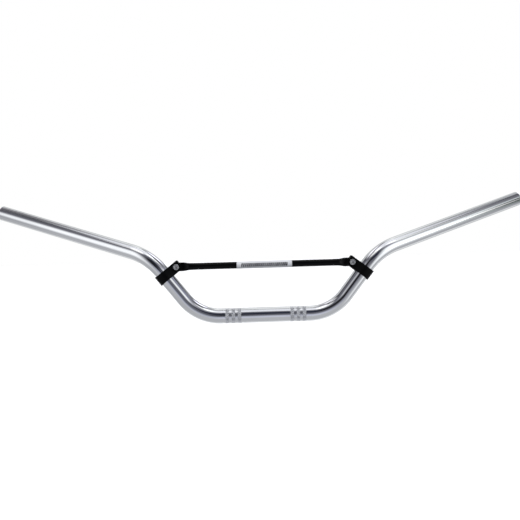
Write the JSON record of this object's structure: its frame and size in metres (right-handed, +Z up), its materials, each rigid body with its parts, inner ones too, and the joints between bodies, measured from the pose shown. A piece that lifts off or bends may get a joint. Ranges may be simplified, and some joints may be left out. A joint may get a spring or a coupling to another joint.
{
  "type": "bicycle handlebar",
  "caption": "Riser handlebar: one bent round tube with knurled bands, swept-back grips and a slim bolted crossbar held by two clamps.",
  "frame": {"origin": "middle of the straight centre of the tube, on the tube's axis, where a stem clamps it", "axes": "+X along the bar towards the right grip as the front is seen, +Y towards the rider, the way the grips sweep back, +Z up"},
  "size_m": [0.8276, 0.12, 0.1862],
  "materials": {
    "polished_aluminium": "polished",
    "black_enamel": "gloss",
    "printed_film": "gloss",
    "black_clamp": "satin",
    "zinc_steel": "satin"
  },
  "bodies": {
    "root": {"handlebar_tube": "polished_aluminium", "crossbar_tube": "black_enamel", "crossbar_label": "printed_film", "crossbar_clamp_left": "black_clamp", "crossbar_clamp_right": "black_clamp", "clamp_bolt_left": "zinc_steel", "clamp_bolt_right": "zinc_steel", "clamp_nut_left": "zinc_steel", "clamp_nut_right": "zinc_steel"}
  },
  "joints": []
}
